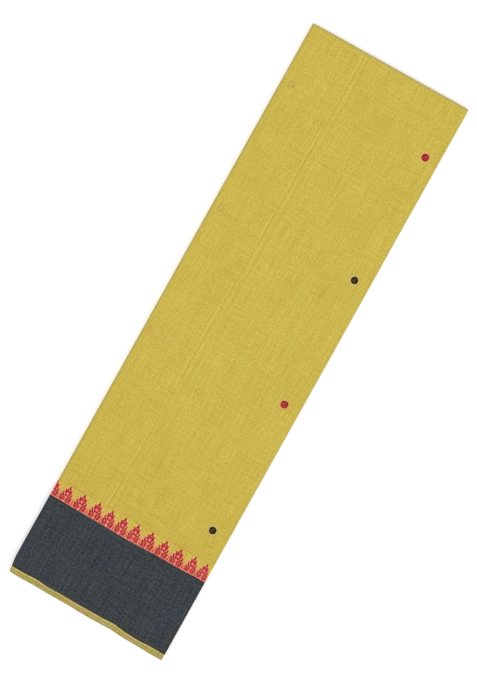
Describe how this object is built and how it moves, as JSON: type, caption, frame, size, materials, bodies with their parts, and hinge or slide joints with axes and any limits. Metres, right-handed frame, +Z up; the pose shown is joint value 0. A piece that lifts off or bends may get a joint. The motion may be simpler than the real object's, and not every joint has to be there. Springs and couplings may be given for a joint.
{
  "type": "folded cotton saree",
  "caption": "Long cotton saree folded flat into a narrow strip: mustard field with woven dots, a band of leaf motifs, a dark border and a plain edge stripe.",
  "frame": {"origin": "middle of the underside, on the surface that the folded saree lies on", "axes": "+X along the saree's own length, across the strip; +Y along the strip, away from the navy border; +Z up"},
  "size_m": [0.3438, 1.213, 0.0141],
  "materials": {
    "field": "matte plain-weave cotton, mustard yellow",
    "leaf_band": "mustard cotton with red woven leaf motifs",
    "border": "matte plain-weave cotton, dark navy grey",
    "stripe": "matte plain-weave cotton, pale khaki yellow",
    "inner": "the same cloth, the plies inside the fold",
    "dot_red": "raised woven thread, deep red",
    "dot_black": "raised woven thread, brown black"
  },
  "bodies": {
    "root": {"mustard_field": "field", "leaf_band": "leaf_band", "navy_border": "border", "edge_stripe": "stripe", "inner_plies": "inner", "dot_red_1": "dot_red", "dot_black_2": "dot_black", "dot_red_3": "dot_red", "dot_black_4": "dot_black"}
  },
  "joints": []
}
